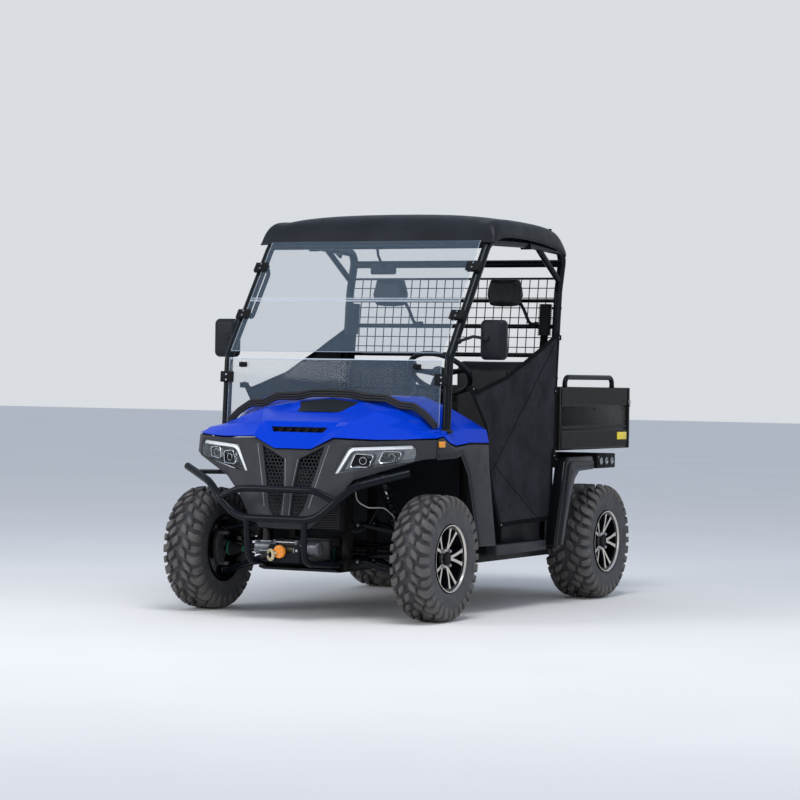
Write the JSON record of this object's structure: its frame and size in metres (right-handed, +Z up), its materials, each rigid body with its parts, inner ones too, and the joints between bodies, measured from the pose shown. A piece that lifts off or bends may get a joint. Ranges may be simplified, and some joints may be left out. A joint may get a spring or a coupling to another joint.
{
  "type": "side by side utility vehicle",
  "caption": "Two-seat off-road utility vehicle that rolls on wheels, with a tube cage, clear windscreen, nose bumper, winch, side nets and a tipping cargo bed",
  "frame": {"origin": "on the ground, midway along and across the vehicle", "axes": "+Z up, -Y towards the nose, +X towards the driver's side"},
  "size_m": [1.718, 2.8953, 2.0827],
  "materials": {
    "blue_panel": "glossy moulded-in colour",
    "charcoal_plastic": "fine grain",
    "black_plastic": "fine grain",
    "black_paint": "satin powder coat",
    "rim_alloy": "black paint with machined faces",
    "tyre_rubber": "block lugs",
    "seal_rubber": "ribbed",
    "clear_panel": "clear sheet",
    "lamp_lens": "clear lens over a dark housing",
    "amber_lens": "ribbed lens",
    "net_fabric": "woven mesh",
    "seat_cover": "coated cloth",
    "bare_steel": "dark coated",
    "cast_metal": "as cast",
    "cooler_core": "finned",
    "hook_steel": "painted"
  },
  "bodies": {
    "frame": {"belt_covers": "black_plastic", "bumper": "black_paint", "cage_front": "black_paint", "cage_rear": "black_paint", "centre_mirror": "black_plastic", "chassis_frame": "black_paint", "dash": "black_plastic", "engine": "cast_metal", "fascia": "charcoal_plastic", "final_drives": "cast_metal", "floor_pan": "black_plastic", "front_arms": "black_paint", "front_shocks": "bare_steel", "gear_lever": "black_plastic", "grab_handle": "black_paint", "grille": "black_plastic", "half_shafts": "bare_steel", "headlamps": "lamp_lens", "headrests": "seat_cover", "hitch_receiver": "black_paint", "hood": "blue_panel", "muffler": "bare_steel", "radiator": "cooler_core", "rear_arms": "black_paint", "rear_fenders": "black_plastic", "rear_knuckles": "cast_metal", "rear_screen": "black_paint", "rear_shocks": "bare_steel", "roof": "black_plastic", "seat_backs": "seat_cover", "seat_box": "black_plastic", "seat_cushions": "seat_cover", "side_markers": "amber_lens", "side_mirrors": "black_plastic", "side_nets": "net_fabric", "side_panels": "charcoal_plastic", "sills": "black_plastic", "skid_plate": "black_plastic", "steering_column": "black_paint", "winch": "black_paint", "winch_hook": "hook_steel", "windscreen": "clear_panel", "windscreen_clamps": "black_plastic", "windscreen_seal": "seal_rubber"},
    "knuckle_left": {"knuckle_left": "cast_metal"},
    "knuckle_right": {"knuckle_right": "cast_metal"},
    "wheel_front_left": {"tyre_front_left": "tyre_rubber", "rim_front_left": "rim_alloy"},
    "wheel_front_right": {"tyre_front_right": "tyre_rubber", "rim_front_right": "rim_alloy"},
    "wheel_rear_left": {"tyre_rear_left": "tyre_rubber", "rim_rear_left": "rim_alloy"},
    "wheel_rear_right": {"tyre_rear_right": "tyre_rubber", "rim_rear_right": "rim_alloy"},
    "steering_rack": {"steering_rack": "bare_steel"},
    "steering_wheel": {"steering_wheel": "black_plastic"},
    "cargo_bed": {"cargo_bed": "black_paint", "bed_rails": "black_paint", "gate_latches": "bare_steel"},
    "tailgate": {"tailgate": "black_paint"}
  },
  "joints": [
    {"name": "steer_left", "type": "hinge", "parent": "frame", "child": "knuckle_left", "pos_m": [0.56, -0.975, 0.31629], "axis": [0, 0, 1], "range_deg": [-30, 30]},
    {"name": "steer_right", "type": "hinge", "parent": "frame", "child": "knuckle_right", "pos_m": [-0.56, -0.975, 0.31629], "axis": [0, 0, 1], "range_deg": [-30, 30]},
    {"name": "rack_slide", "type": "slide", "parent": "frame", "child": "steering_rack", "axis": [1, 0, 0], "range_m": [-0.052, 0.052]},
    {"name": "steering_wheel_turn", "type": "hinge", "parent": "frame", "child": "steering_wheel", "pos_m": [0.345, -0.338, 1.238], "axis": [0, 0.6157, 0.788], "range_deg": [-275, 275]},
    {"name": "wheel_front_left_spin", "type": "hinge", "parent": "knuckle_left", "child": "wheel_front_left", "pos_m": [0.655, -0.975, 0.31629], "axis": [1, 0, 0], "continuous": true},
    {"name": "wheel_front_right_spin", "type": "hinge", "parent": "knuckle_right", "child": "wheel_front_right", "pos_m": [-0.655, -0.975, 0.31629], "axis": [1, 0, 0], "continuous": true},
    {"name": "wheel_rear_left_spin", "type": "hinge", "parent": "frame", "child": "wheel_rear_left", "pos_m": [0.645, 0.925, 0.31629], "axis": [1, 0, 0], "continuous": true},
    {"name": "wheel_rear_right_spin", "type": "hinge", "parent": "frame", "child": "wheel_rear_right", "pos_m": [-0.645, 0.925, 0.31629], "axis": [1, 0, 0], "continuous": true},
    {"name": "bed_tilt", "type": "hinge", "parent": "frame", "child": "cargo_bed", "pos_m": [0, 1.29, 0.813], "axis": [-1, 0, 0], "range_deg": [0, 45]},
    {"name": "tailgate_drop", "type": "hinge", "parent": "cargo_bed", "child": "tailgate", "pos_m": [0, 1.416, 0.88], "axis": [-1, 0, 0], "range_deg": [0, 90]}
  ],
  "couplings": [
    {"joint": "steer_right", "follows": "steer_left", "ratio": 1},
    {"joint": "rack_slide", "follows": "steer_left", "m_per_rad": -0.092},
    {"joint": "steering_wheel_turn", "follows": "steer_left", "ratio": 9}
  ]
}
